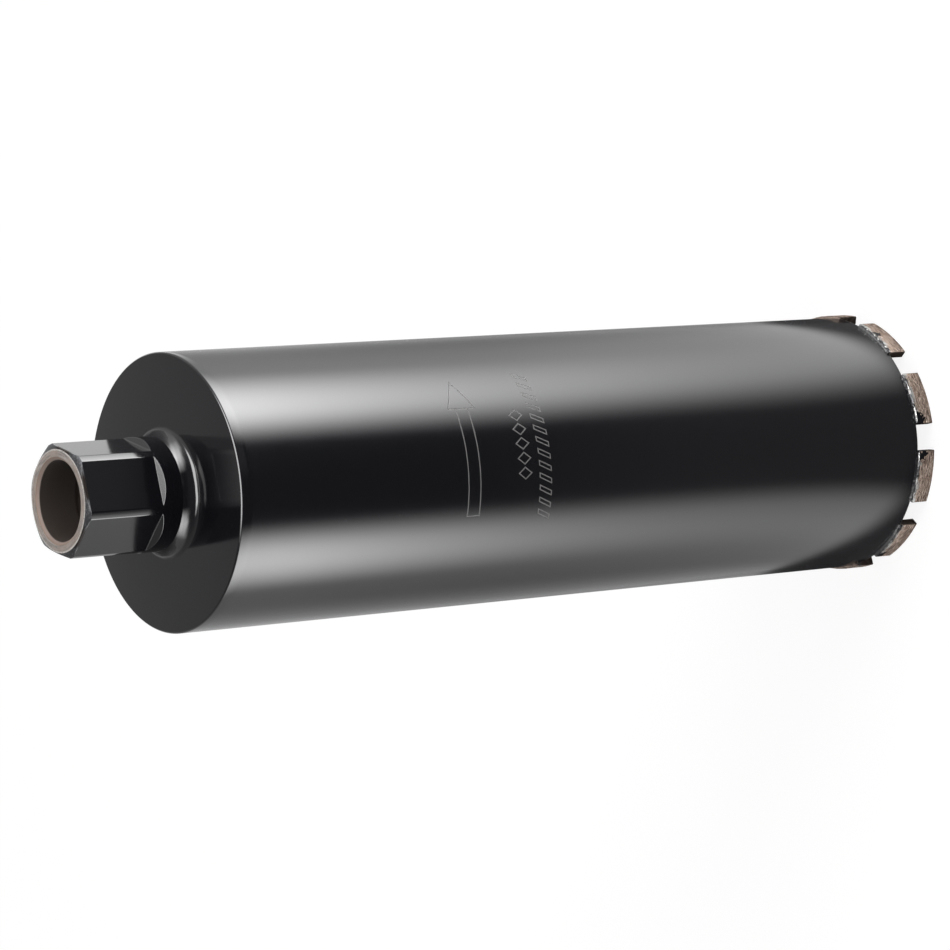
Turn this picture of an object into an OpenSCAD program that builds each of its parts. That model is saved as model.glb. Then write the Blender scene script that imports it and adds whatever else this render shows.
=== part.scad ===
// Wet diamond core bit for drilling round holes in concrete and masonry.
// A thin steel barrel carries a crown of brazed segments at its foot. An end plate closes its top
// and holds a hub with a female thread for the drilling machine's spindle.
// The bit stands on its crown. Millimetres, +Z up the axis, z = 0 at the segments' tips.

/* [Crown] */
// Cutting diameter, measured over the outside of the segments
crown_d = 114; // [80:1:200]
// Number of segments round the rim
segment_count = 10; // [6:1:12]
// Length of one segment along its outer arc
segment_length = 24; // [12:0.5:28]
// Height of one segment, from its tip to its brazed back
segment_height = 8.8; // [5:0.1:15]
// How far the segments stand out past the outside of the barrel
outer_relief = 1; // [0.5:0.1:2]
// How far the segments stand in past the inside of the barrel
inner_relief = 0.5; // [0.3:0.1:2]
// Broken edge along the two rims of each segment's tip
tip_chamfer = 0.25; // [0.1:0.05:0.6]
// Thickness of the brazed joint between a segment and the barrel's rim
braze_gap = 0.1; // [0.05:0.05:0.3]
// Height of the braze fillet up the barrel's outside, over the segment's ledge
braze_leg = 1.3; // [0.6:0.1:3]
// How far the braze fillet falls short of the segment's ends
braze_margin = 0.6; // [0.2:0.1:2]

/* [Barrel] */
// Length of the steel tube, from its rim to the end plate's shoulder
barrel_length = 349; // [150:1:500]
// Wall thickness of the steel tube
barrel_wall = 2; // [1.5:0.1:4]

/* [End plate] */
// Thickness of the plate's rim, which shows on top of the tube
plate_rim = 5; // [3:0.5:12]
// Depth of the shouldered spigot inside the tube
plate_spigot = 5; // [2:0.5:15]
// Broken outer edge of the plate
plate_edge = 0.4; // [0.2:0.1:2]
// Chamfer on the lead of the spigot
spigot_chamfer = 0.8; // [0.3:0.1:2]
// Clearance on radius between the spigot and the tube
plate_fit = 0.05; // [0.02:0.01:0.3]

/* [Hub] */
// Diameter of the round bar that the hub is milled from
hub_bar_d = 46; // [44:0.5:60]
// Height of the hub above the end plate
hub_height = 48.55; // [40:0.05:80]
// Width across the milled flats, for the wrench
hub_flats = 41.3; // [40:0.1:45]
// Height of the round neck below the flats
hub_neck = 14.6; // [10:0.1:22]
// Slope of the facet in which each flat runs out
runout_deg = 34; // [10:1:60]
// Diameter of the bare front face inside the bevel
hub_face_d = 41; // [38:0.5:43]
// Angle of the front bevel, measured from the face
bevel_deg = 27; // [15:1:45]
// Turn of the hub's flats against the segments
hub_turn = -4.4; // [-30:0.2:30]

/* [Thread bore] */
// Minor diameter of the spindle thread
thread_minor_d = 28; // [20:0.25:30]
// Diameter of the plain mouth in front of the thread
mouth_d = 32; // [31:0.25:35]
// Depth of the plain mouth
mouth_depth = 18; // [5:0.5:24]
// Chamfer at the lip of the mouth
mouth_chamfer = 1.2; // [0.2:0.1:1.5]
// Chamfer where the thread leaves the hub at the bottom
exit_chamfer = 1; // [0.5:0.1:2]
// Diameter of the hub's foot, which passes through the end plate
foot_d = 37; // [33:0.5:42]
// Clearance on radius between the foot and the plate's hole
foot_fit = 0.05; // [0.02:0.01:0.3]

/* [Hub weld] */
// Width of the weld bead on the end plate
bead_width = 3.5; // [2.5:0.1:6]
// Lean of the bead's straight face, measured from the hub's neck
bead_lean_deg = 24; // [15:1:45]
// Radius of the hollow in which the bead runs out on the plate
bead_cove_r = 2.8; // [1:0.1:3.5]
// Angle at which the hollow meets the plate
bead_toe_deg = 15; // [5:1:30]

/* [Hidden] */
$fn = 180;
// How far a cutter runs past what it cuts
past = 1;
// How deep a face that meets a curve nearly flush is sunk into it
sunk = 0.005;

barrel_r = crown_d / 2 - outer_relief;
barrel_inner_r = barrel_r - barrel_wall;
segment_outer_r = crown_d / 2;
segment_inner_r = barrel_inner_r - inner_relief;
segment_angle = segment_length / segment_outer_r * 180 / PI;
segment_pitch = 360 / segment_count;

rim_z = segment_height + braze_gap;
shoulder_z = rim_z + barrel_length;
plate_z = shoulder_z + plate_rim;
spigot_r = barrel_inner_r - plate_fit;
spigot_z = shoulder_z - plate_spigot;

hub_r = hub_bar_d / 2;
hub_face_r = hub_face_d / 2;
hub_face_z = plate_z + hub_height;
bevel_depth = (hub_r - hub_face_r) * tan(bevel_deg);
neck_z = plate_z + hub_neck;
foot_r = foot_d / 2;
mouth_r = mouth_d / 2;
thread_r = thread_minor_d / 2;
thread_top_z = hub_face_z - mouth_depth - (mouth_r - thread_r);

// Names of the numbered pieces, such as segment_01
function numbered(name, i) = str(name, "_", i < 10 ? "0" : "", i);

// Seamless steel tube, open at both ends
module barrel_tube() {
    color("#1c1c1e")
    translate([0, 0, rim_z])
    difference() {
        cylinder(h = barrel_length, r = barrel_r);
        translate([0, 0, -past]) cylinder(h = barrel_length + 2 * past, r = barrel_inner_r);
    }
}

// Turned disc: its rim lies on the tube's end and its spigot centres it inside
module end_plate() {
    color("#1f1f21")
    rotate_extrude()
    polygon([
        [foot_r + foot_fit, spigot_z],
        [spigot_r - spigot_chamfer, spigot_z],
        [spigot_r, spigot_z + spigot_chamfer],
        [spigot_r, shoulder_z],
        [barrel_r, shoulder_z],
        [barrel_r, plate_z - plate_edge],
        [barrel_r - plate_edge, plate_z],
        [foot_r + foot_fit, plate_z]
    ]);
}

// Outline of the turned hub before milling: foot, neck, bevel, plain mouth and thread bore
module hub_profile() {
    polygon([
        [thread_r + exit_chamfer, spigot_z],
        [foot_r, spigot_z],
        [foot_r, plate_z],
        [hub_r, plate_z],
        [hub_r, hub_face_z - bevel_depth],
        [hub_face_r, hub_face_z],
        [mouth_r + mouth_chamfer, hub_face_z],
        [mouth_r, hub_face_z - mouth_chamfer],
        [mouth_r, thread_top_z + mouth_r - thread_r],
        [thread_r, thread_top_z],
        [thread_r, spigot_z + exit_chamfer]
    ]);
}

// What the mill takes off beyond one flat, down to the sloped facet where the cut runs out
module flat_cut() {
    reach = hub_r + past;
    flat_r = hub_flats / 2;
    rotate([90, 0, 0])
    linear_extrude(height = 2 * reach, center = true)
    polygon([
        [flat_r, neck_z],
        [reach, neck_z - (reach - flat_r) * tan(runout_deg)],
        [reach, hub_face_z + past],
        [flat_r, hub_face_z + past]
    ]);
}

// Hub turned from round bar and milled to a hexagon, so each corner keeps a strip of the round
module drive_hub() {
    color("#202022")
    difference() {
        rotate_extrude() hub_profile();
        for (i = [0:5]) rotate([0, 0, hub_turn + 60 * i]) flat_cut();
    }
}

// Weld bead in the corner between the hub's neck and the end plate, straight and then hollow
module hub_weld() {
    toe_r = hub_r + bead_width;
    centre_r = toe_r + bead_cove_r * sin(bead_toe_deg);
    centre_z = plate_z + bead_cove_r * cos(bead_toe_deg);
    // The straight face ends just inside the hollow's circle, so that the two cross cleanly
    joint_r = centre_r - (bead_cove_r - sunk) * cos(bead_lean_deg);
    joint_z = centre_z - (bead_cove_r - sunk) * sin(bead_lean_deg);
    color("#1d1d1f")
    rotate_extrude()
    difference() {
        polygon([
            [hub_r, plate_z],
            [centre_r, plate_z],
            [centre_r, centre_z],
            [joint_r, joint_z],
            [hub_r, joint_z + (joint_r - hub_r) / tan(bead_lean_deg)]
        ]);
        translate([centre_r, centre_z]) circle(r = bead_cove_r);
    }
}

// A slice of a revolved outline, as wide as the angle given, centred on the piece's own place
module crown_arc(i, angle) {
    rotate([0, 0, segment_pitch * (i - 1) - angle / 2])
    rotate_extrude(angle = angle)
    children();
}

// One sintered cutting segment: an arc of rectangular section with broken tip edges
module segment(i) {
    color("#8a7567")
    crown_arc(i, segment_angle)
    polygon([
        [segment_inner_r, segment_height],
        [segment_inner_r, tip_chamfer],
        [segment_inner_r + tip_chamfer, 0],
        [segment_outer_r - tip_chamfer, 0],
        [segment_outer_r, tip_chamfer],
        [segment_outer_r, segment_height]
    ]);
}

// The braze of one segment: a thin joint under the rim, with a fillet over each ledge
module braze(i) {
    color("#a39f9a")
    crown_arc(i, segment_angle - braze_margin / barrel_r * 180 / PI * 2)
    polygon([
        [segment_inner_r, segment_height],
        [segment_outer_r, segment_height],
        [barrel_r + outer_relief / 2, rim_z + braze_leg / 3],
        [barrel_r, rim_z + braze_leg],
        [barrel_r, rim_z],
        [barrel_inner_r, rim_z],
        [barrel_inner_r, rim_z + inner_relief]
    ]);
}

barrel_tube();
end_plate();
drive_hub();
hub_weld();
for (i = [1:segment_count]) segment(i);
for (i = [1:segment_count]) braze(i);
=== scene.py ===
"""Looks of a wet core drill bit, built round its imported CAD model.

Gloss black paint over a thin barrel, a milled and threaded hub with a bare turned face, and ten sintered
segments brazed under the rim. All is in metres in the CAD model's frame: the bit stands on its segments'
tips at z = 0, and its axis runs up +Z to the hub.
"""

import math
from contextlib import contextmanager

import bmesh
import bpy
from bpy.props import FloatProperty, FloatVectorProperty, PointerProperty
from bpy.types import Operator, Panel, PropertyGroup
from mathutils import Matrix, Vector


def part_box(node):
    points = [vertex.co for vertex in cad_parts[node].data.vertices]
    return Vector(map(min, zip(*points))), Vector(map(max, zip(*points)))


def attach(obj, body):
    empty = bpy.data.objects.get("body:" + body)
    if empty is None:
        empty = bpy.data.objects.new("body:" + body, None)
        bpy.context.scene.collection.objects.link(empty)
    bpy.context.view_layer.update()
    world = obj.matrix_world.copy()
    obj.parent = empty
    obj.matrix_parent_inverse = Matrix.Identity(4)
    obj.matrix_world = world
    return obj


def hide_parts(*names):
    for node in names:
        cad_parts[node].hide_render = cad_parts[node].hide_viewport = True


bl_info = {
    "name": "Core drill bit",
    "version": (1, 0, 0),
    "blender": (4, 5, 0),
    "location": "View3D > Sidebar > Core bit",
    "description": "Painted barrel, threaded hub and brazed crown of a wet core drill bit, with its studio",
    "category": "Add Mesh",
}

MM = 0.001
TAU = 2 * math.pi

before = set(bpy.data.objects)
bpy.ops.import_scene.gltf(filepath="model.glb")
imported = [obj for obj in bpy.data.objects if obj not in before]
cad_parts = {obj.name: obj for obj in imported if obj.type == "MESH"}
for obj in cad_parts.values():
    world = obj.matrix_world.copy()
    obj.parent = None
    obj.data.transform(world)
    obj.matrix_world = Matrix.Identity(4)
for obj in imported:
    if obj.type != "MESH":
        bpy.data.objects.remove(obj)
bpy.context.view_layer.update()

TUBE_LOW, TUBE_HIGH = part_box("barrel_tube")
PLATE_LOW, PLATE_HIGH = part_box("end_plate")
HUB_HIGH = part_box("drive_hub")[1]
SEGMENT_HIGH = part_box("segment_01")[1]
BRAZE_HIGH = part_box("braze_01")[1]

BARREL_R = TUBE_HIGH.x
HUB_R = HUB_HIGH.x
BEAD_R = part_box("hub_weld")[1].x
RIM_Z = TUBE_LOW.z
SHOULDER_Z = TUBE_HIGH.z
SPIGOT_Z = PLATE_LOW.z
PLATE_Z = PLATE_HIGH.z
FACE_Z = HUB_HIGH.z
SEGMENT_R = SEGMENT_HIGH.x
SEGMENT_TOP = SEGMENT_HIGH.z
SEGMENT_ARC = 2 * math.asin(SEGMENT_HIGH.y / SEGMENT_R)
BRAZE_ARC = 2 * math.asin(BRAZE_HIGH.y / SEGMENT_R)
CROWN = sorted(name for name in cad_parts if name.startswith("segment_"))
PITCH = TAU / len(CROWN)
HEX = TAU / 6

# Points closer than this are one point
WELD = 0.001 * MM
# How far a cutter runs past what it cuts
PAST = 3 * MM
# Steps round a full turn of the barrel and the plate, of the other turned pieces and of the thread
BARREL_STEPS = 256
ROUND_STEPS = 192
THREAD_STEPS = 96
# Steps along one segment and along its braze
SEGMENT_STEPS = 24
BRAZE_STEPS = 48
# Steps along the hollow of the weld bead, and as many along its face
COVE_STEPS = 12
# Runs of paint on the segments: place along the arc from the first segment's middle and half width, in mm
PAINT_RUNS = ((-9.8, 2.8), (-25.8, 2.2), (37, 1.2), (81, 2.6), (117, 3.4), (156, 1.8), (-81, 2.4), (-139, 3))
# The braze of this segment, counted from 0, and that of the one opposite it are brown
BROWN_BRAZE = 2

# Stretches of azimuth that the gloss paint mirrors, in degrees: where each starts, is full, fades and ends
LEFT_GLOW = (-137, -77, -71, -45)
LEFT_CORE = (-113, -79, -76, -45)
RIGHT_GLOW = (15, 51, 51, 126)
RIGHT_CORE = (15, 45, 45, 89)
DARK_FRONT = (-128, -56, 24, 60)
RIGHT_PATCH = (95, 125, 135, 165)
FRONT_PATCH = (-15, 5, 13, 33)
OVERHEAD_BOX = (-75, -40, 60, 90)
SIDE_WALL = (20, 70, 105, 150)
# Sines of the elevations of the overhead softbox, in the same order, and those where the ceiling starts
OVERHEAD_RISE = (0.60, 0.70, 0.945, 0.974)
CEILING_RISE = (0.945, 0.98)
# The point on the floor from which the mirrored strips fan out
FAN_X, FAN_Y = 18 * MM, -9.5 * MM
# How far from it the strips' cores reach their full level, and where the patches start
CORE_REACH = 0.5
PATCH_REACH = (0.63, 0.65)
# Middle and soft edge of the painted shadow round the bit on the floor, which glossy rays see
PAINTED_SHADOW_X, PAINTED_SHADOW_Y = -20 * MM, 1.5 * MM
PAINTED_SHADOW_EDGE = (74 * MM, 85 * MM)
# Side of the soft lamps and the point that they light
LAMP_SIZE = 0.9
LAMP_TARGET = (0, 0, 0.15)


def length(text, value, note):
    """A length that the user may change, in millimetres here and in metres in the scene."""
    return FloatProperty(name=text, description=note, default=value * MM, unit="LENGTH", precision=5)


def amount(text, value, note, low=0.0, high=1.0):
    """A plain number that the user may change."""
    return FloatProperty(name=text, description=note, default=value, min=low, max=high)


def colour(text, value, note):
    """A colour that the user may change, in linear light."""
    return FloatVectorProperty(name=text, description=note, default=value, subtype="COLOR", min=0, max=1)


class BarrelSizes(PropertyGroup):
    wall: length("Wall", 2, "Thickness of the steel tube")
    edge: length("Edge", 0.35, "Rounding of the tube's rim under the paint")
    plate_edge: length("Plate edge", 0.6, "Broken outer edge of the end plate")
    soft: length("Soft edge", 0.2, "Rounding of the plate's broken edge under the paint")
    chamfer: length("Spigot chamfer", 0.8, "Chamfer on the lead of the plate's spigot")
    fit: length("Fit", 0.05, "Clearance on radius between the plate and what it holds or fits in")
    foot_r: length("Foot radius", 18.5, "Radius of the hub's foot, which fills the plate's hole")


class HubSizes(PropertyGroup):
    flat_r: length("Flat", 20.65, "Distance of each milled flat from the axis")
    neck: length("Neck", 14.6, "Height of the round neck below the flats")
    runout: FloatProperty(
        name="Run-out", description="Slope of the facet in which each flat ends",
        default=math.radians(34), subtype="ANGLE")
    turn: FloatProperty(
        name="Turn", description="Turn of the flats against the first segment",
        default=math.radians(-4.4), subtype="ANGLE")
    face_r: length("Face radius", 20.2, "Radius of the bare front face inside the bevel")
    bevel: length("Bevel", 1.427, "Depth of the front bevel along the axis")
    mouth_r: length("Mouth radius", 16, "Radius of the plain mouth in front of the thread")
    mouth: length("Mouth depth", 18, "Depth of the plain mouth")
    lip: length("Lip", 1.2, "Chamfer at the lip of the mouth")
    minor_r: length("Minor radius", 14, "Radius of the thread's crests")
    major_r: length("Major radius", 15.875, "Radius of the thread's roots")
    lead: length("Lead", 3.6286, "Pitch of the thread, seven turns to the inch")
    exit: length("Exit", 1, "Chamfer where the thread leaves the hub at the bottom")
    edge: length("Edge", 0.22, "Rounding of the milled edges")


class BeadSizes(PropertyGroup):
    cove: length("Cove", 2.8, "Radius of the hollow in which the bead runs out on the plate")
    low_lean: FloatProperty(
        name="Low lean", description="Lean of the bead's face from the neck where it leaves the hollow",
        default=math.radians(32), subtype="ANGLE")
    top_lean: FloatProperty(
        name="Top lean", description="Lean of the bead's face where it ends on the neck",
        default=math.radians(14), subtype="ANGLE")
    toe: FloatProperty(
        name="Toe", description="Angle at which the hollow meets the plate",
        default=math.radians(15), subtype="ANGLE")
    wave: length("Wave", 0.16, "Unevenness of the bead under the paint")
    wave_grain: length("Wave grain", 6, "Size of the bead's waves")
    sunk: length("Sunk", 0.4, "How far the bead runs into the hub's neck")
    root: length("Root", 0.3, "How far the bead runs into the plate")


class CrownSizes(PropertyGroup):
    wall: length("Radial width", 3.5, "Width of a segment across the wall")
    tip: length("Tip edge", 0.3, "Rounding of the segments' edges")
    grit: length("Grit", 0.07, "Unevenness of the sintered faces")
    grit_grain: length("Grit grain", 0.9, "Size of the grains of that unevenness")
    leg: length("Braze leg", 1.3, "Height of the braze fillet over the rim")
    lump: length("Braze lumps", 0.45, "Unevenness of the braze fillet")
    lump_grain: length("Lump grain", 1.6, "Size of the braze's lumps")


class PaintLook(PropertyGroup):
    colour: colour("Paint", (0.0045, 0.0045, 0.0062), "Body colour of the black paint")
    speck: colour("Specks", (0.03, 0.03, 0.03), "Colour of the specks in the paint")
    worn: colour("Worn rim", (0.09, 0.088, 0.085), "Colour of the worn paint along the tube's rim")
    dust: colour("Dust", (0.16, 0.16, 0.165), "Colour of the dust above the rim")
    roughness: amount("Roughness", 0.16, "Roughness of the barrel's gloss")
    smooth: amount("Smooth roughness", 0.1, "Roughness of the gloss on the plate, hub and bead")
    turning: amount("Turning marks", 0.05, "How far the steel's turning marks show through the paint")


class MarkLook(PropertyGroup):
    colour: colour("Engraving", (0.115, 0.112, 0.11), "Colour of the engraved lines")
    line: length("Line", 0.44, "Width of an engraved line")
    arrow_z: length("Arrow height", 251, "Height of the middle of the large arrow above the tips")
    arrow_from: length("Arrow start", -36, "Where the arrow starts, as an arc length from the first segment")
    arrow_to: length("Arrow end", 22, "Where the arrow's point lies")
    arrow_half: length("Arrow half width", 6.6, "Half the width across the arrow's head")
    rhombs_z: length("Rhomb row", 225.3, "Height of the row of rhombs")
    rhombs_from: length("Rhomb row start", -23, "Where the row of rhombs starts")
    rhombs_to: length("Rhomb row end", 7.5, "Where the row of rhombs ends")
    hatch_z: length("Hatch", 215, "Height of the band of slanted bars")
    hatch_from: length("Hatch start", -40, "Where the band of slanted bars starts")
    hatch_to: length("Hatch end", 25, "Where the band of slanted bars ends")


class SteelLook(PropertyGroup):
    face: colour("Turned face", (0.445, 0.40, 0.372), "Colour of the bare turned steel")
    lip: colour("Lip", (0.225, 0.172, 0.148), "Colour of the dull chamfer at the lip of the mouth")
    stain: colour("Stain", (0.27, 0.19, 0.145), "Colour of the rust stain on the bare steel")
    # The bore's near-black colour is painted shade of the turned steel inside the hole
    bore: colour("Bore", (0.022, 0.016, 0.013), "Colour of the oiled bore")
    # The rim colour is a painted highlight along the outer edge of the bare face
    edge: colour("Rim", (0.62, 0.585, 0.556), "Colour of the bright rim of the bare face")
    thin: colour("Thin paint", (0.055, 0.057, 0.063), "Colour of the thin paint on the bevel")
    worn: colour("Worn paint", (0.17, 0.175, 0.185), "Colour of the worn outer edge of the bevel")
    roughness: amount("Roughness", 0.42, "Roughness of the turned face")


class SinterLook(PropertyGroup):
    colour: colour("Sinter", (0.32, 0.24, 0.192), "Colour of the sintered metal")
    pale: colour("Pale grains", (0.80, 0.66, 0.57), "Colour of the ground grains")
    dark: colour("Pits", (0.07, 0.047, 0.037), "Colour of the pits between the grains")
    heat: colour("Heat stain", (0.24, 0.145, 0.10), "Colour of the stain left by the brazing")
    # Near-black colour that the segments' ends are given, laid on them matte
    skin: colour("Skin", (0.006, 0.0055, 0.0055), "Colour of the unground ends")
    braze: colour("Braze", (0.50, 0.50, 0.49), "Colour of the silver braze")
    flux: colour("Flux", (0.08, 0.075, 0.07), "Colour of the burnt flux between the braze's lumps")


class StudioLook(PropertyGroup):
    azimuth: FloatProperty(
        name="Azimuth", description="Direction of the camera round the axis, from +X",
        default=math.radians(-17.3), subtype="ANGLE")
    elevation: FloatProperty(
        name="Elevation", description="Height of the camera above the horizon",
        default=math.radians(36.4), subtype="ANGLE")
    roll: FloatProperty(
        name="Roll", description="Turn of the camera about its line of sight",
        default=math.radians(94.38), subtype="ANGLE")
    aim: FloatVectorProperty(
        name="Aim", description="The point that the camera looks at",
        default=(-0.0021, -0.0017, 0.2085), subtype="TRANSLATION", unit="LENGTH")
    distance: FloatProperty(
        name="Distance", description="From the camera to the point it looks at", default=1.64, unit="LENGTH")
    lens: FloatProperty(name="Lens", description="Focal length in millimetres", default=147.98)
    world: amount("World", 0.62, "Brightness of the world that lights the bit", high=4)
    overhead: amount("Overhead", 12, "Brightness of the overhead softbox in the gloss paint", high=40)
    key: amount("Key lamp", 12, "Power of the main lamp in watts", high=200)
    fill: amount("Fill lamp", 2.2, "Power of the second lamp in watts", high=200)


def setting(name):
    """The property group of that name on the scene."""
    return getattr(bpy.context.scene, "core_bit_" + name)


# Modelling


def deselect():
    """Leaves edit mode and selects nothing."""
    active = bpy.context.object
    if active and active.mode != "OBJECT":
        bpy.ops.object.mode_set(mode="OBJECT")
    bpy.ops.object.select_all(action="DESELECT")


def choose(piece):
    """Makes a piece the only one selected, and the active one."""
    deselect()
    piece.select_set(True)
    bpy.context.view_layer.objects.active = piece


@contextmanager
def editing(piece):
    """Edit mode on one piece, with all of it selected."""
    choose(piece)
    bpy.ops.object.mode_set(mode="EDIT")
    bpy.ops.mesh.select_mode(type="VERT")
    bpy.ops.mesh.select_all(action="SELECT")
    yield
    bpy.ops.object.mode_set(mode="OBJECT")


def select_edges(test):
    """Selects those edges of the mesh in edit mode that pass the test."""
    bpy.ops.mesh.select_mode(type="EDGE")
    bpy.ops.mesh.select_all(action="DESELECT")
    mesh = bpy.context.object.data
    shape = bmesh.from_edit_mesh(mesh)
    for edge in shape.edges:
        if test(edge):
            edge.select_set(True)
    shape.select_flush_mode()
    bmesh.update_edit_mesh(mesh)


def modify(piece, kind, **settings):
    """Adds a modifier to a piece and applies it."""
    choose(piece)
    modifier = piece.modifiers.new(kind.title(), kind)
    for name, value in settings.items():
        setattr(modifier, name, value)
    bpy.ops.object.modifier_apply(modifier=modifier.name)


def outline(name, points):
    """A chain of edges in the plane of X and Z, drawn by extruding one point from corner to corner."""
    deselect()
    bpy.ops.mesh.primitive_plane_add(size=MM, location=(points[0][0], 0, points[0][1]))
    piece = bpy.context.object
    piece.name = piece.data.name = name
    bpy.ops.object.transform_apply(location=True, rotation=True, scale=True)
    with editing(piece):
        bpy.ops.mesh.merge(type="CENTER")
        for (r0, z0), (r1, z1) in zip(points, points[1:]):
            step = (r1 - r0, 0, z1 - z0)
            bpy.ops.mesh.extrude_vertices_move(TRANSFORM_OT_translate={"value": step})
    return piece


def clean(piece):
    """Merges the points that coincide and turns all faces outwards."""
    with editing(piece):
        bpy.ops.mesh.remove_doubles(threshold=WELD)
        bpy.ops.mesh.normals_make_consistent(inside=False)


def lathe(name, points, steps=ROUND_STEPS):
    """A solid turned from a closed outline."""
    piece = outline(name, points + points[:1])
    with editing(piece):
        bpy.ops.mesh.remove_doubles(threshold=WELD)
        bpy.ops.mesh.spin(steps=steps, angle=TAU, center=(0, 0, 0), axis=(0, 0, 1))
    clean(piece)
    return piece


def arc_of(name, points, middle, angle, steps):
    """A slice of a turned solid, as wide as the angle and centred on the middle angle."""
    piece = outline(name, points + points[:1])
    with editing(piece):
        bpy.ops.mesh.remove_doubles(threshold=WELD)
        bpy.ops.mesh.edge_face_add()
        bpy.ops.mesh.spin(steps=steps, angle=angle, center=(0, 0, 0), axis=(0, 0, 1))
    turn(piece, middle + angle / 2)
    clean(piece)
    return piece


def turn(piece, angle):
    """Turns a piece about the bit's axis, in its mesh."""
    choose(piece)
    piece.rotation_euler.z = angle
    bpy.ops.object.transform_apply(location=True, rotation=True, scale=True)


def roughen(piece, depth, grain):
    """Makes a surface uneven by a cloud pattern. Both sizes are in metres."""
    clouds = bpy.data.textures.new(piece.name + "_grain", "CLOUDS")
    clouds.noise_scale = grain
    clouds.noise_depth = 3
    modify(piece, "DISPLACE", texture=clouds, strength=depth, mid_level=0.5, texture_coords="LOCAL")
    bpy.data.textures.remove(clouds)


def shade(piece, angle=math.radians(35)):
    """Smooth shading, with the edges sharper than the angle left crisp."""
    choose(piece)
    bpy.ops.object.shade_smooth_by_angle(angle=angle)


def hand_over(piece, look, slot, *nodes):
    """Gives a finished piece its material, hangs it under the root body and hides the CAD nodes that it
    stands for.
    """
    piece.data.materials.clear()
    piece.data.materials.append(look)
    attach(piece, "root")
    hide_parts(*nodes)


# Shaders


class Wire:
    """One output of a shader node. Arithmetic on it adds the Math nodes that work it out."""

    def __init__(self, sheet, socket):
        self.sheet = sheet
        self.socket = socket

    def math(self, operation, *values):
        return self.sheet.node("ShaderNodeMath", {"operation": operation}, *values)

    def __add__(self, other):
        return self.math("ADD", self, other)

    def __sub__(self, other):
        return self.math("SUBTRACT", self, other)

    def __rsub__(self, other):
        return self.math("SUBTRACT", other, self)

    def __mul__(self, other):
        return self.math("MULTIPLY", self, other)

    def __truediv__(self, other):
        return self.math("DIVIDE", self, other)

    def __pow__(self, other):
        return self.math("POWER", self, other)

    def __abs__(self):
        return self.math("ABSOLUTE", self)

    def __mod__(self, other):
        return self.math("FLOORED_MODULO", self, other)

    def least(self, other):
        return self.math("MINIMUM", self, other)

    def most(self, other):
        return self.math("MAXIMUM", self, other)

    __radd__ = __add__
    __rmul__ = __mul__


class Sheet:
    """The node tree of a material or of the world, with the few patterns that this bit's finishes use."""

    def __init__(self, owner):
        owner.use_nodes = True
        self.tree = owner.node_tree
        self.tree.nodes.clear()

    def node(self, kind, settings=None, *values, out=0, **named):
        """Adds a node: its settings first, then the values or links of its sockets."""
        node = self.tree.nodes.new(kind)
        for name, value in (settings or {}).items():
            setattr(node, name, value)
        sockets = list(zip(node.inputs, values))
        sockets += [(node.inputs[name.replace("_", " ")], value) for name, value in named.items()]
        for socket, value in sockets:
            if isinstance(value, Wire):
                self.tree.links.new(value.socket, socket)
            elif value is not None:
                socket.default_value = value
        return Wire(self, node.outputs[out]) if node.outputs else node

    def outputs(self, kind, *values):
        """Adds a node and returns all its outputs by their names."""
        node = self.node(kind, None, *values).socket.node
        return {socket.name: Wire(self, socket) for socket in node.outputs}

    def place(self):
        """The point on the object, and its X, Y and Z."""
        point = self.node("ShaderNodeTexCoord", out="Object")
        parts = self.outputs("ShaderNodeSeparateXYZ", point)
        return point, parts["X"], parts["Y"], parts["Z"]

    def polar(self, x, y):
        """Angle in radians and distance of a point about the middle of its coordinates."""
        angle = self.node("ShaderNodeMath", {"operation": "ARCTAN2"}, y, x)
        return angle, (x * x + y * y) ** 0.5

    def round_axis(self, x, y, radius, girth, across):
        """Coordinates whose noise runs in streaks round the axis, and the longer the smaller the girth."""
        return self.node("ShaderNodeCombineXYZ", None, x / radius * girth, y / radius * girth, across)

    def step(self, low, high, value):
        """0 below low, 1 above high, and a smooth rise between them."""
        settings = {"interpolation_type": "SMOOTHSTEP"}
        return self.node("ShaderNodeMapRange", settings, Value=value, From_Min=low, From_Max=high)

    def band(self, start, full, fade, end, value):
        """0 up to start and past end, 1 from full to fade, and smooth between them."""
        return self.step(start, full, value) * self.step(end, fade, value)

    def noise(self, point, size, stretch=(1, 1, 1), detail=3.0, roughness=0.5):
        """Soft noise from 0 to 1 with grains of about that size in metres, longer where stretch is large."""
        scale = tuple(1 / (size * s) for s in stretch)
        spread = self.node("ShaderNodeMapping", {"vector_type": "POINT"}, Vector=point, Scale=scale)
        return self.node(
            "ShaderNodeTexNoise", None, Vector=spread, Scale=1.0, Detail=detail, Roughness=roughness)

    def blend(self, share, first, second):
        """Mixes two colours."""
        colours = [c if isinstance(c, Wire) else (*c, 1.0) for c in (first, second)]
        # The two colours come after the factor and five inputs for other kinds of value
        unused = [None] * 5
        settings = {"data_type": "RGBA", "clamp_factor": True}
        return self.node("ShaderNodeMix", settings, share, *unused, *colours, out=2)

    def bump(self, height, depth):
        """A bump of the given depth in metres for a height from 0 to 1."""
        return self.node("ShaderNodeBump", None, Strength=1.0, Distance=depth, Height=height)

    def mixed(self, share, first, second):
        """Mixes two shaders."""
        return self.node("ShaderNodeMixShader", None, share, first, second)

    def surface(self, shader, output="ShaderNodeOutputMaterial"):
        """Sends a shader to the output."""
        self.node(output, None, shader)


def new_finish(name):
    """An empty material and its sheet."""
    material = bpy.data.materials.new(name)
    return material, Sheet(material)


def darker(shade_of, share):
    """A share of a colour's brightness."""
    return tuple(share * part for part in shade_of)


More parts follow.
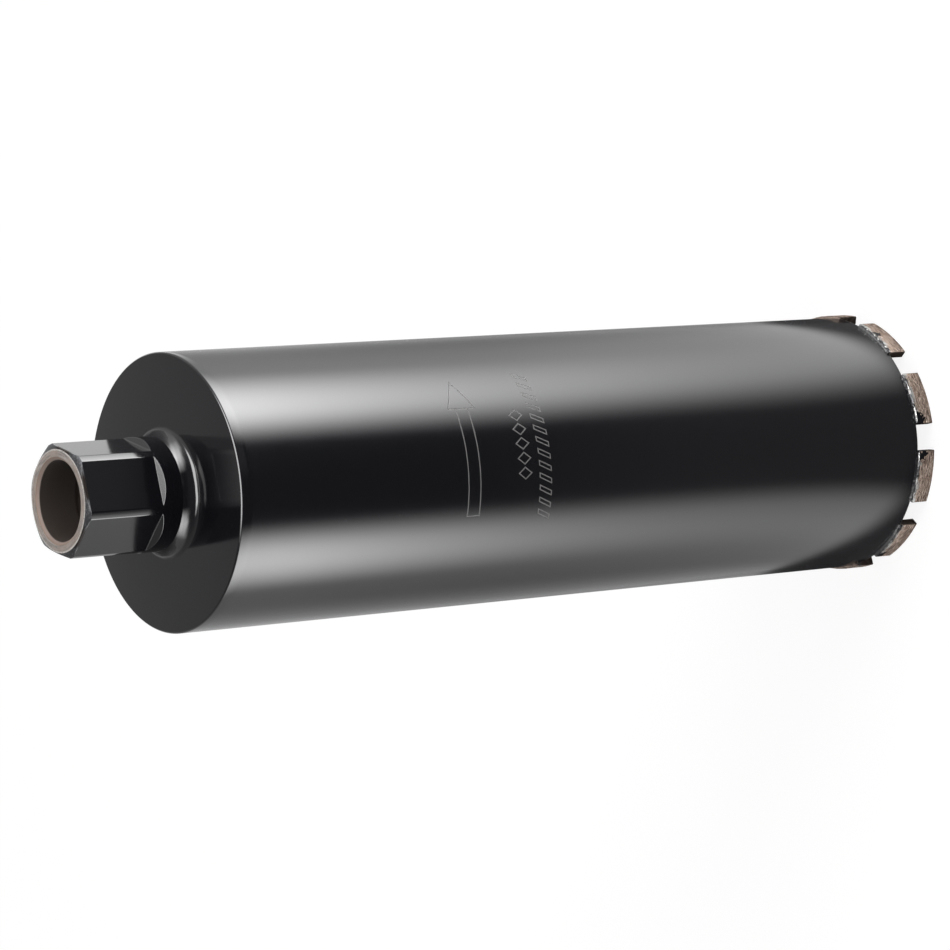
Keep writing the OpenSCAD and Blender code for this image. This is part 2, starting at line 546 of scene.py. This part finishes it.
def gloss_paint(name, roughness, marks=False, rim=False):
    """Gloss black paint, with the faint turning marks of the steel below it."""
    look = setting("paint")
    material, sheet = new_finish(name)
    point, x, y, z = sheet.place()
    cloud = sheet.noise(point, 9 * MM, detail=2.0)
    peel = sheet.noise(point, 1.3 * MM, detail=2.0)
    rings = sheet.noise(point, 0.55 * MM, stretch=(60, 60, 1), detail=2.0)
    specks = sheet.step(0.74, 0.78, sheet.noise(point, 0.7 * MM, detail=1.0))
    base = sheet.blend(specks * 0.5, look.colour, look.speck)
    gloss = (cloud - 0.5) * 0.03 + specks * 0.1 + roughness
    height = rings * look.turning + peel * 0.02
    if rim:
        up = z - RIM_Z
        worn = sheet.step(0.9 * MM, 0.1 * MM, up + (peel - 0.5) * 1.6 * MM)
        base = sheet.blend(worn * 0.6, base, look.worn)
        dust = sheet.step(0.68, 0.72, sheet.noise(point, 0.5 * MM, detail=1.0))
        dust = dust * sheet.step(16 * MM, 1 * MM, up) * sheet.step(0.5, 0.7, cloud)
        base = sheet.blend(dust * 0.8, base, look.dust)
        gloss = gloss + worn * 0.3
    if marks:
        lines = engraving(sheet, x, y, z)
        base = sheet.blend(lines, base, setting("mark").colour)
        gloss = gloss + lines * 0.5
        height = height - lines * 0.3
    sheet.surface(sheet.node(
        "ShaderNodeBsdfPrincipled", None, Base_Color=base, Roughness=gloss,
        Normal=sheet.bump(height, 0.05 * MM)))
    return material


def engraving(sheet, x, y, z):
    """Plain engraved outlines on the barrel: an arrow for the turn, a row of rhombs and a hatched band."""
    mark = setting("mark")
    along = sheet.polar(x, y)[0] * BARREL_R

    def stroke(distance):
        return 1 - sheet.step(mark.line * 0.35, mark.line * 0.75, abs(distance))

    def box(u, v, half_u, half_v):
        return (abs(u) - half_u).most(abs(v) - half_v)

    across = z - mark.arrow_z
    neck = mark.arrow_to - 2 * mark.arrow_half
    tail_half = (neck - mark.arrow_from) / 2
    tail = box(along - (mark.arrow_from + tail_half), across, tail_half, mark.arrow_half * 0.45)
    # The head's sides fall by one in two, so these are the two parts of a line square to them
    slope = (along - mark.arrow_to) * 0.447 + abs(across) * 0.894
    lines = stroke(tail.least(slope.most(neck - along)))

    def row(start, end, height, pitch, shape):
        cell = ((along - start) % pitch) - pitch / 2
        inside = sheet.band(start - 0.1 * MM, start, end - 0.1 * MM, end, along)
        return stroke(shape(cell, z - height)) * inside

    def rhomb(u, v):
        return abs(u) * 0.8 + abs(v) * 0.6 - 1.9 * MM

    def bar(u, v):
        return box(u - v * 0.45, v, 0.9 * MM, 2.9 * MM)

    lines = lines.most(row(mark.rhombs_from, mark.rhombs_to, mark.rhombs_z, 6.1 * MM, rhomb))
    return lines.most(row(mark.hatch_from, mark.hatch_to, mark.hatch_z, 5 * MM, bar))


def turned_face(sheet, streaks, fine, cloud, pits, radius):
    """Colour of the hub's bare face: turning streaks with rust between them, pits and a painted highlight
    along its rim.
    """
    steel = setting("steel")
    face = sheet.blend(streaks, darker(steel.face, 0.5), steel.face)
    rust = sheet.step(0.44, 0.58, cloud * 0.55 + streaks * 0.2 + fine * 0.25) * 0.5
    face = sheet.blend(rust.most(pits * 0.8), face, steel.stain)
    # Painted highlight: a bright speckled band just inside the face's outer edge
    rim = sheet.step(-0.55 * MM, -0.3 * MM, radius - setting("hub").face_r)
    return sheet.blend(rim * sheet.step(0.38, 0.52, fine), face, steel.edge)


def thin_paint(sheet, grain, cloud, depth):
    """Colour of the thin paint on the hub's bevel, worn along its outer edge."""
    bevel, steel = setting("hub").bevel, setting("steel")
    thin = sheet.blend(sheet.step(0.45, 0.66, grain), setting("paint").colour, steel.thin)
    worn = sheet.step(bevel * 0.45, bevel, depth + (grain - 0.5) * 0.9 * MM)
    return sheet.blend(worn * sheet.step(0.42, 0.56, cloud) * 0.8, thin, steel.worn)


def hub_finish():
    """Paint on the hub's outside and thinly on its bevel, bare turned steel on its face, and painted shade in
    the bore.
    """
    hub, paint, steel = setting("hub"), setting("paint"), setting("steel")
    material, sheet = new_finish("hub_paint_and_steel")
    point, x, y, z = sheet.place()
    angle, radius = sheet.polar(x, y)
    depth = FACE_Z - z
    grain = sheet.noise(point, 0.8 * MM, detail=4.0, roughness=0.6)
    fine = sheet.noise(point, 0.35 * MM, detail=2.0)
    cloud = sheet.noise(point, 7 * MM)
    mill = sheet.noise(point, 0.5 * MM, stretch=(1, 1, 40), detail=2.0)
    pits = sheet.step(0.70, 0.74, sheet.noise(point, 0.7 * MM, detail=1.0))
    rings = sheet.node(
        "ShaderNodeTexNoise", {"noise_dimensions": "1D"}, W=radius, Scale=1 / (0.4 * MM), Detail=3.0)
    swirl = sheet.noise(sheet.round_axis(x, y, radius, 3 * MM, radius), 0.65 * MM, roughness=0.6)

    # Where each finish lies, as masks from 0 to 1
    lip_r = hub.mouth_r + hub.lip
    on_top = sheet.step(0.12 * MM, 0.05 * MM, depth)
    inside = sheet.step(lip_r + 0.2 * MM, lip_r, radius)
    deep = sheet.step(hub.mouth_r + 0.2 * MM, hub.mouth_r + 0.05 * MM, radius)
    bevel = sheet.step(hub.bevel + 0.1 * MM, hub.bevel - 0.1 * MM, depth) * (1 - on_top) * (1 - inside)
    bare = on_top.most(inside)
    off_flat = abs(((angle - hub.turn + HEX / 2) % HEX) - HEX / 2) * radius
    corner = sheet.step(3.5 * MM, 6.5 * MM, off_flat + (grain - 0.5) * 2 * MM)

    streaks = sheet.step(0.40, 0.60, swirl * 0.7 + fine * 0.3)
    face = turned_face(sheet, streaks, fine, cloud, pits, radius)
    worn_lip = sheet.step(0.8 * MM, 1.05 * MM, radius - hub.mouth_r)
    face = sheet.blend(inside, face, sheet.blend(worn_lip, steel.lip, darker(steel.stain, 0.8)))
    # Painted shade: the mouth and the thread inside it take the bore's near-black colour
    face = sheet.blend(deep, face, steel.bore)
    thin = thin_paint(sheet, grain, cloud, depth)
    base = sheet.blend(bevel * (corner * 0.85 + 0.15), paint.colour, thin)
    base = sheet.blend(bare, base, face)
    rough = bare * (steel.roughness - paint.smooth) + bevel * 0.22 + inside * 0.25 + (fine - 0.5) * 0.03
    height = rings * on_top * 0.35 + grain * bevel * 0.5 + fine * 0.04 + mill * (1 - bare) * 0.08
    shader = sheet.node(
        "ShaderNodeBsdfPrincipled", None, Base_Color=base, Metallic=on_top * (1 - inside) * 0.2,
        Roughness=rough + paint.smooth, Normal=sheet.bump(height, 0.05 * MM))

    # Matte near-black without gloss: painted shade deep in the bore, and grime on the bevel where it meets
    # the flats
    bore_shade_and_grime = sheet.node("ShaderNodeBsdfDiffuse", None, (*steel.bore, 1))
    low = sheet.step(hub.mouth - 1.5 * MM, hub.mouth, depth) * deep
    dull = (low * 0.85).most(bevel * (1 - corner) * 0.7)
    sheet.surface(sheet.mixed(dull, shader, bore_shade_and_grime))
    return material


def paint_runs(sheet, point, angle, up):
    """Where paint has run from the barrel over the segments, and how near the runs a point lies."""
    flow = (sheet.noise(point, 2.2 * MM) - 0.5) * 9 * MM
    near = 0
    for middle, half in PAINT_RUNS:
        off = abs(angle * SEGMENT_R - middle * MM) + flow * 0.7
        near = sheet.step(half * MM, (half - 0.3) * MM, off) + near
    return sheet.step(-3.9 * MM, -3.7 * MM, up + flow) * near, near


def sinter_finish():
    """Sintered metal ground along the arc, with dark ends, and paint and braze lapping over its top."""
    look, paint = setting("sinter"), setting("paint")
    material, sheet = new_finish("sintered_segment")
    point, x, y, z = sheet.place()
    angle, radius = sheet.polar(x, y)
    up = z - SEGMENT_TOP
    across = sheet.round_axis(x, y, radius, 6 * MM, z + radius)
    streaks = sheet.noise(across, 0.3 * MM, roughness=0.6)
    grains = sheet.noise(point, 0.4 * MM, roughness=0.65)
    cloud = sheet.noise(point, 5 * MM)
    tone = streaks * 0.7 + grains * 0.3
    base = sheet.blend(sheet.step(0.42, 0.50, tone), look.dark, look.colour)
    base = sheet.blend(sheet.step(0.52, 0.60, tone), base, look.pale)
    base = sheet.blend(sheet.step(0.5, 0.75, cloud) * 0.35, base, look.heat)

    # The ends, the paint that laps over the top or runs down, and the braze along the top
    to_middle = abs(((angle + PITCH / 2) % PITCH) - PITCH / 2) * SEGMENT_R
    past_end = to_middle - SEGMENT_ARC / 2 * SEGMENT_R + (grains - 0.5) * 0.4 * MM
    end = sheet.step(-0.35 * MM, -0.12 * MM, past_end)
    ragged = (sheet.noise(point, 1.6 * MM, detail=4.0, roughness=0.6) - 0.5) * 2.4 * MM
    run, near_run = paint_runs(sheet, point, angle, up)
    painted = run.most(sheet.step(-0.6 * MM, -0.4 * MM, up + ragged) * (1 - end))
    wet = sheet.step(-1.8 * MM, -1.3 * MM, up + ragged)
    bright = sheet.step(0.47, 0.54, grains * 0.4 + cloud * 0.6) * wet * (1 - near_run)
    base = sheet.blend(painted, base, paint.colour)
    base = sheet.blend(bright, base, look.braze)
    shader = sheet.node(
        "ShaderNodeBsdfPrincipled", None, Base_Color=base, Metallic=(1 - painted) * 0.45 + bright * 0.3,
        Roughness=0.55 - bright * 0.2 - painted * 0.3, Specular_IOR_Level=0.25,
        Normal=sheet.bump(tone * (1 - painted) + painted * 0.6, 0.12 * MM))
    # The ends take a near-black matte colour
    skin = sheet.node("ShaderNodeBsdfDiffuse", None, (*look.skin, 1))
    sheet.surface(sheet.mixed(end * 0.85, shader, skin))
    return material


def braze_finish():
    """Dull silver braze with a ragged edge, much of it painted over, and brown at two segments."""
    look, paint = setting("sinter"), setting("paint")
    material, sheet = new_finish("bright_braze")
    point, x, y, z = sheet.place()
    lumps = sheet.noise(point, 0.6 * MM)
    cloud = sheet.noise(point, 4.5 * MM, roughness=0.6)
    ragged = (sheet.noise(point, 1.2 * MM, detail=4.0, roughness=0.6) - 0.5) * 2.2 * MM
    high = sheet.step(0.42, 0.60, lumps)
    painted = sheet.step(0.15 * MM, 0.3 * MM, z - RIM_Z + ragged).most(sheet.step(0.49, 0.54, cloud))
    # The two brown ones lie opposite each other, so half a turn apart
    off_brown = abs(((sheet.polar(x, y)[0] - BROWN_BRAZE * PITCH + math.pi / 2) % math.pi) - math.pi / 2)
    brown = sheet.step(PITCH / 2, PITCH / 2 - 0.02, off_brown)
    painted = painted * (1 - brown * sheet.step(0.66, 0.58, cloud))
    base = sheet.blend(high, look.flux, look.braze)
    base = sheet.blend(brown, base, sheet.blend(high, look.dark, look.colour))
    base = sheet.blend(painted, base, paint.colour)
    sheet.surface(sheet.node(
        "ShaderNodeBsdfPrincipled", None, Base_Color=base, Metallic=(1 - painted) * (0.8 - brown * 0.6),
        Roughness=0.38 + brown * 0.2 - painted * 0.16, Normal=sheet.bump(lumps, 0.1 * MM)))
    return material


# Pieces


class CORE_BIT_OT_barrel(Operator):
    """Turns the barrel with rounded rims and gives it its gloss paint and engraved signs"""
    bl_idname = "core_bit.barrel"
    bl_label = "Barrel"

    def execute(self, context):
        size = setting("barrel")
        inner = BARREL_R - size.wall
        piece = lathe("painted_barrel", [
            (BARREL_R, RIM_Z), (BARREL_R, SHOULDER_Z), (inner, SHOULDER_Z), (inner, RIM_Z)], BARREL_STEPS)
        with editing(piece):
            select_edges(lambda e: all(abs(v.co.z - RIM_Z) < WELD for v in e.verts)
                         and abs(e.verts[0].co.xy.length - e.verts[1].co.xy.length) < WELD)
            bpy.ops.mesh.bevel(offset=size.edge, segments=3, affect="EDGES")
        shade(piece)
        gloss = gloss_paint("barrel_gloss", setting("paint").roughness, marks=True, rim=True)
        hand_over(piece, gloss, "barrel_paint", "barrel_tube")
        return {"FINISHED"}


class CORE_BIT_OT_plate(Operator):
    """Turns the end plate with its broken edge and the spigot inside the tube"""
    bl_idname = "core_bit.plate"
    bl_label = "End plate"

    def execute(self, context):
        size = setting("barrel")
        hole = size.foot_r + size.fit
        spigot = BARREL_R - size.wall - size.fit
        lead, cut = size.chamfer, size.plate_edge
        piece = lathe("painted_plate", [
            (hole, SPIGOT_Z), (spigot - lead, SPIGOT_Z), (spigot, SPIGOT_Z + lead), (spigot, SHOULDER_Z),
            (BARREL_R, SHOULDER_Z), (BARREL_R, PLATE_Z - cut), (BARREL_R - cut, PLATE_Z), (hole, PLATE_Z)],
            BARREL_STEPS)
        with editing(piece):
            # Each corner of the broken edge, and its share of the rounding
            for corner_r, corner_z, share in ((BARREL_R - cut, PLATE_Z, 0.7), (BARREL_R, PLATE_Z - cut, 1.6)):
                select_edges(lambda e: all(abs(v.co.z - corner_z) < WELD
                             and abs(v.co.xy.length - corner_r) < WELD for v in e.verts))
                bpy.ops.mesh.bevel(offset=size.soft * share, segments=3, affect="EDGES")
        shade(piece)
        hand_over(piece, gloss_paint("plate_gloss", setting("paint").smooth), "plate_paint", "end_plate")
        return {"FINISHED"}


def cut_away(piece, cutter):
    """Takes a cutter's volume off a piece and removes the cutter."""
    modify(piece, "BOOLEAN", operation="DIFFERENCE", solver="EXACT", object=cutter)
    bpy.data.objects.remove(cutter)


def flat_cutter(size, angle):
    """What the mill takes off beyond one flat, down to the sloped facet where the cut runs out."""
    neck_z = PLATE_Z + size.neck
    reach = HUB_R + PAST
    drop = (reach - size.flat_r) * math.tan(size.runout)
    cutter = outline("flat_cutter", [
        (size.flat_r, neck_z), (reach, neck_z - drop), (reach, FACE_Z + PAST), (size.flat_r, FACE_Z + PAST)])
    with editing(cutter):
        bpy.ops.mesh.edge_face_add()
        bpy.ops.transform.translate(value=(0, -reach, 0))
        bpy.ops.mesh.extrude_region_move(TRANSFORM_OT_translate={"value": (0, 2 * reach, 0)})
    turn(cutter, angle)
    clean(cutter)
    return cutter


def thread_tap(size):
    """A solid of the spindle thread's shape, longer than the thread at both ends."""
    flank = (size.major_r - size.minor_r) * math.tan(math.radians(30))
    root = size.lead / 8
    crest = size.lead - root - 2 * flank
    start = SPIGOT_Z - 2 * size.lead
    turns = math.ceil((FACE_Z - size.mouth - start) / size.lead) + 1
    tap = outline("thread_tap", [
        (size.minor_r, start), (size.minor_r, start + crest), (size.major_r, start + crest + flank),
        (size.major_r, start + crest + flank + root), (size.minor_r, start + size.lead)])
    modify(tap, "SCREW", angle=TAU, screw_offset=size.lead, iterations=turns, steps=THREAD_STEPS,
           render_steps=THREAD_STEPS, use_merge_vertices=True, merge_threshold=WELD)
    clean(tap)
    bottom, top = start - size.lead, start + (turns + 1) * size.lead
    middle = (start + top) / 2
    with editing(tap):
        for end_z in (bottom, top):
            select_edges(lambda e: e.is_boundary and (e.verts[0].co.z > middle) == (end_z > middle))
            bpy.ops.mesh.extrude_region_move()
            bpy.ops.transform.resize(value=(1, 1, 0), center_override=(0, 0, end_z))
            bpy.ops.mesh.edge_face_add()
    clean(tap)
    return tap


class CORE_BIT_OT_hub(Operator):
    """Turns the hub, mills its six flats, cuts the spindle thread and breaks the edges"""
    bl_idname = "core_bit.hub"
    bl_label = "Hub"

    def execute(self, context):
        size = setting("hub")
        foot = setting("barrel").foot_r
        throat_z = FACE_Z - size.mouth - (size.mouth_r - size.minor_r)
        piece = lathe("threaded_hub", [
            (size.minor_r + size.exit, SPIGOT_Z), (foot, SPIGOT_Z), (foot, PLATE_Z), (HUB_R, PLATE_Z),
            (HUB_R, FACE_Z - size.bevel), (size.face_r, FACE_Z), (size.mouth_r + size.lip, FACE_Z),
            (size.mouth_r, FACE_Z - size.lip), (size.mouth_r, FACE_Z - size.mouth), (size.minor_r, throat_z),
            (size.minor_r, SPIGOT_Z + size.exit)])
        for k in range(6):
            cut_away(piece, flat_cutter(size, size.turn + k * HEX))
        cut_away(piece, thread_tap(size))
        with editing(piece):
            bpy.ops.mesh.remove_doubles(threshold=0.01 * MM)
            # The milled edges and those of the face and lip, but none in the mouth or the thread
            select_edges(lambda e: e.calc_face_angle(0) > math.radians(22) and all(
                v.co.xy.length > size.mouth_r + 0.5 * MM or v.co.z > FACE_Z - size.lip - WELD
                for v in e.verts))
            bpy.ops.mesh.bevel(offset=size.edge, segments=2, affect="EDGES", clamp_overlap=False)
        shade(piece, math.radians(30))
        modify(piece, "WEIGHTED_NORMAL", keep_sharp=True, weight=100)
        hand_over(piece, hub_finish(), "hub_paint", "drive_hub")
        return {"FINISHED"}


class CORE_BIT_OT_bead(Operator):
    """Lays the hollow weld bead round the hub's neck"""
    bl_idname = "core_bit.bead"
    bl_label = "Weld bead"

    def execute(self, context):
        size = setting("bead")
        inner, under = HUB_R - size.sunk, PLATE_Z - size.root
        middle_r = BEAD_R + size.cove * math.sin(size.toe)
        middle_z = PLATE_Z + size.cove * math.cos(size.toe)
        face = []
        for k in range(COVE_STEPS + 1):
            angle = -math.pi / 2 - (math.pi / 2 - size.low_lean) * k / COVE_STEPS
            face.append((middle_r + size.cove * math.cos(angle), middle_z + size.cove * math.sin(angle)))
        low_r, low_z = face[-1]
        # Radius of the arc that the face follows from the low lean to the top lean
        wide = (low_r - HUB_R) / (math.cos(size.top_lean) - math.cos(size.low_lean))
        for k in range(1, COVE_STEPS + 1):
            lean = size.low_lean + (size.top_lean - size.low_lean) * k / COVE_STEPS
            face.append((low_r - wide * (math.cos(lean) - math.cos(size.low_lean)),
                         low_z + wide * (math.sin(size.low_lean) - math.sin(lean))))
        piece = lathe("weld_bead", [(inner, under), (middle_r, under)] + face + [(inner, face[-1][1])])
        roughen(piece, size.wave, size.wave_grain)
        shade(piece, math.radians(60))
        hand_over(piece, gloss_paint("bead_gloss", setting("paint").smooth), "bead_paint", "hub_weld")
        return {"FINISHED"}


class CORE_BIT_OT_crown(Operator):
    """Sinters the segments of the crown and lays their braze"""
    bl_idname = "core_bit.crown"
    bl_label = "Crown"

    def execute(self, context):
        size = setting("crown")
        inner, tube_r = SEGMENT_R - size.wall, BARREL_R - setting("barrel").wall
        outer_ledge, inner_ledge = SEGMENT_R - BARREL_R, tube_r - inner
        sinter, bright = sinter_finish(), braze_finish()
        for k, node in enumerate(CROWN):
            middle = k * PITCH
            braze = node.replace("segment", "braze")
            piece = arc_of("sintered_" + node, [
                (inner, 0), (SEGMENT_R, 0), (SEGMENT_R, SEGMENT_TOP), (inner, SEGMENT_TOP)],
                middle, SEGMENT_ARC, SEGMENT_STEPS)
            with editing(piece):
                select_edges(lambda e: e.calc_face_angle(0) > math.radians(60))
                bpy.ops.mesh.bevel(offset=size.tip, segments=2, affect="EDGES")
                bpy.ops.mesh.select_all(action="SELECT")
                bpy.ops.mesh.subdivide(number_cuts=2)
            roughen(piece, size.grit, size.grit_grain)
            shade(piece, math.radians(50))
            hand_over(piece, sinter, "segment_metal", node)

            joint = arc_of("laid_" + braze, [
                (inner, SEGMENT_TOP), (SEGMENT_R, SEGMENT_TOP),
                (BARREL_R + outer_ledge / 2, RIM_Z + size.leg / 3), (BARREL_R, RIM_Z + size.leg),
                (BARREL_R, RIM_Z), (tube_r, RIM_Z), (tube_r, RIM_Z + inner_ledge)],
                middle, BRAZE_ARC, BRAZE_STEPS)
            with editing(joint):
                bpy.ops.mesh.subdivide(number_cuts=2)
            roughen(joint, size.lump, size.lump_grain)
            shade(joint, math.radians(60))
            hand_over(joint, bright, "braze_metal", braze)
        return {"FINISHED"}


# Studio


def window(sheet, azimuth, stretch):
    """1 inside a stretch of azimuths and 0 outside it, with soft ends. The azimuth is in radians."""
    return sheet.band(*((degrees + 180) / 360 for degrees in stretch), azimuth / TAU + 0.5)


def softboxes(sheet, azimuth, left_far, right_far, right_near, base):
    """What the gloss paint mirrors low down: two soft strips, a dark front and a pale sweep behind.

    Each strip is a broad glow with a bright core. The cores grow with left_far and right_far.
    """
    left_glow, left_core = 1.25, 7.3
    right_glow, right_core, right_start = 2.4, 8.1, 0.6
    sweep_core, sweep_start = 0.28, 0.27
    left = window(sheet, azimuth, LEFT_GLOW) * left_glow
    left = left + window(sheet, azimuth, LEFT_CORE) * left_far * left_core
    right = window(sheet, azimuth, RIGHT_GLOW) * right_glow
    right = right + window(sheet, azimuth, RIGHT_CORE) * (right_far * right_core + right_start)
    sweep = (1 - window(sheet, azimuth, DARK_FRONT)) * (left_far * sweep_core + sweep_start)
    return left + right * right_near + sweep + base


def overhead(sheet, azimuth, rise):
    """What the gloss paint mirrors high up: a broad softbox over the front, and pale walls and ceiling.

    The rise is the sine of the elevation.
    """
    ceiling_level, walls_level, side_level, base = 0.7, 0.25, 0.6, 0.2
    box = window(sheet, azimuth, OVERHEAD_BOX) * sheet.band(*OVERHEAD_RISE, rise)
    ceiling = sheet.step(*CEILING_RISE, rise) * ceiling_level
    walls = (1 - window(sheet, azimuth, DARK_FRONT)) * walls_level
    side = window(sheet, azimuth, SIDE_WALL) * side_level
    return box * setting("studio").overhead + ceiling + walls + side + base


def floor_finish():
    """Pale floor: white to the camera with a faint shadow, and the softboxes' light and a painted shadow
    round the bit to the gloss paint.
    """
    material, sheet = new_finish("pale_floor")
    x, y = sheet.place()[1:3]
    azimuth, reach = sheet.polar(x - FAN_X, y - FAN_Y)
    far = (reach / CORE_REACH) ** 2.0
    base = sheet.step(0.35, 0.12, reach) * 0.11 + 0.08
    near = sheet.step(0.06, 0.26, reach) * 0.32 + 0.68
    strips = softboxes(sheet, azimuth, far.least(1.15), far.least(1.5), near, base)
    patches = window(sheet, azimuth, RIGHT_PATCH) * 0.75 + window(sheet, azimuth, FRONT_PATCH) * 0.2
    strips = strips + sheet.step(*PATCH_REACH, reach) * patches
    # Painted shadow: the floor near the bit is dark to glossy rays, so it stays dark in the paint
    from_painted_shadow = sheet.polar(x - PAINTED_SHADOW_X, y - PAINTED_SHADOW_Y)[1]
    out_of_painted_shadow = sheet.step(*PAINTED_SHADOW_EDGE, from_painted_shadow) * 0.92 + 0.08

    mirrored = sheet.node("ShaderNodeEmission", None, (1, 1, 1, 1), strips * out_of_painted_shadow)
    matte = sheet.node("ShaderNodeBsdfDiffuse", None, (0.8, 0.8, 0.8, 1))
    white = sheet.node("ShaderNodeEmission", None, (1, 1, 1, 1), 1.1)
    seen = sheet.mixed(0.2, white, matte)
    rays = sheet.outputs("ShaderNodeLightPath")
    lit = sheet.mixed(rays["Is Camera Ray"], matte, seen)
    lit = sheet.mixed(rays["Is Glossy Ray"], lit, mirrored)
    under = sheet.node("ShaderNodeNewGeometry", out="Backfacing")
    sheet.surface(sheet.mixed(under, lit, sheet.node("ShaderNodeBsdfTransparent")))
    material.cycles.emission_sampling = "NONE"
    return material


def studio_world():
    """World that is white to the camera, even to matte surfaces, and the softboxes to gloss paint."""
    look = setting("studio")
    world = bpy.data.worlds.new("studio")
    sheet = Sheet(world)
    ray = sheet.node("ShaderNodeTexCoord", out="Generated")
    parts = sheet.outputs("ShaderNodeSeparateXYZ", ray)
    azimuth, rise = sheet.polar(parts["X"], parts["Y"])[0], parts["Z"]
    low = sheet.step(0.30, 0.10, rise)
    strips = softboxes(sheet, azimuth, 1.0, 1.0, 1.0, 0.08)
    mirrored = strips * low + overhead(sheet, azimuth, rise) * (1 - low)
    rays = sheet.outputs("ShaderNodeLightPath")
    glossy, camera = rays["Is Glossy Ray"], rays["Is Camera Ray"]
    level = glossy * mirrored + (1 - glossy) * look.world
    level = camera + (1 - camera) * level
    sheet.surface(sheet.node("ShaderNodeBackground", None, (1, 1, 1, 1), level), "ShaderNodeOutputWorld")
    return world


def add_lamp(name, place, power):
    """A soft square lamp that points at the bit. The paint mirrors the softboxes instead of it."""
    deselect()
    bpy.ops.object.light_add(type="AREA", location=place)
    lamp = bpy.context.object
    lamp.name = name
    lamp.data.size = LAMP_SIZE
    lamp.data.energy = power
    lamp.rotation_euler = (Vector(LAMP_TARGET) - Vector(place)).to_track_quat("-Z", "Y").to_euler()
    lamp.visible_glossy = False
    lamp.visible_camera = False


def add_camera(look):
    """The camera at the photograph's angle, with the bit lying across the picture."""
    back = Vector((math.cos(look.azimuth) * math.cos(look.elevation),
                   math.sin(look.azimuth) * math.cos(look.elevation), math.sin(look.elevation)))
    level_right = Vector((0, 0, 1)).cross(back).normalized()
    level_up = back.cross(level_right)
    up = level_up * math.cos(look.roll) + level_right * math.sin(look.roll)
    right = up.cross(back)
    bpy.ops.object.camera_add(location=Vector(look.aim) + back * look.distance)
    camera = bpy.context.object
    camera.rotation_euler = Matrix((right, up, back)).transposed().to_euler()
    camera.data.lens = look.lens
    camera.data.clip_start = 0.05
    return camera


class CORE_BIT_OT_studio(Operator):
    """Sets the floor, the world, the lamps and the camera"""
    bl_idname = "core_bit.studio"
    bl_label = "Studio"

    def execute(self, context):
        look = setting("studio")
        deselect()
        bpy.ops.mesh.primitive_plane_add(size=40, location=(0, 0, 0))
        floor = context.object
        floor.name = "floor"
        floor.data.materials.append(floor_finish())

        context.scene.world = studio_world()
        add_lamp("key_lamp", (0.9, 0.9, 1.1), look.key)
        add_lamp("fill_lamp", (0.7, -1.2, 0.6), look.fill)
        context.scene.camera = add_camera(look)
        context.scene.view_settings.view_transform = "Standard"
        return {"FINISHED"}


GROUPS = {
    "barrel": BarrelSizes, "hub": HubSizes, "bead": BeadSizes, "crown": CrownSizes, "paint": PaintLook,
    "mark": MarkLook, "steel": SteelLook, "sinter": SinterLook, "studio": StudioLook,
}
STEPS = (
    CORE_BIT_OT_barrel, CORE_BIT_OT_plate, CORE_BIT_OT_hub, CORE_BIT_OT_bead, CORE_BIT_OT_crown,
    CORE_BIT_OT_studio,
)


class CORE_BIT_PT_panel(Panel):
    """Lists the steps that build the bit, and the sizes and looks that they use"""
    bl_idname = "CORE_BIT_PT_panel"
    bl_label = "Core bit"
    bl_space_type = "VIEW_3D"
    bl_region_type = "UI"
    bl_category = "Core bit"

    def draw(self, context):
        for step in STEPS:
            self.layout.operator(step.bl_idname)
        for name, group in GROUPS.items():
            box = self.layout.box()
            box.label(text=name.title())
            for prop in group.__annotations__:
                box.prop(setting(name), prop)


def register():
    for name, group in GROUPS.items():
        bpy.utils.register_class(group)
        setattr(bpy.types.Scene, "core_bit_" + name, PointerProperty(type=group))
    for kind in (*STEPS, CORE_BIT_PT_panel):
        bpy.utils.register_class(kind)


def unregister():
    for kind in (CORE_BIT_PT_panel, *reversed(STEPS)):
        bpy.utils.unregister_class(kind)
    for name, group in reversed(GROUPS.items()):
        delattr(bpy.types.Scene, "core_bit_" + name)
        bpy.utils.unregister_class(group)


def main():
    """Registers the add-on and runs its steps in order."""
    register()
    bpy.ops.core_bit.barrel()
    bpy.ops.core_bit.plate()
    bpy.ops.core_bit.hub()
    bpy.ops.core_bit.bead()
    bpy.ops.core_bit.crown()
    bpy.ops.core_bit.studio()


if __name__ == "__main__":
    main()
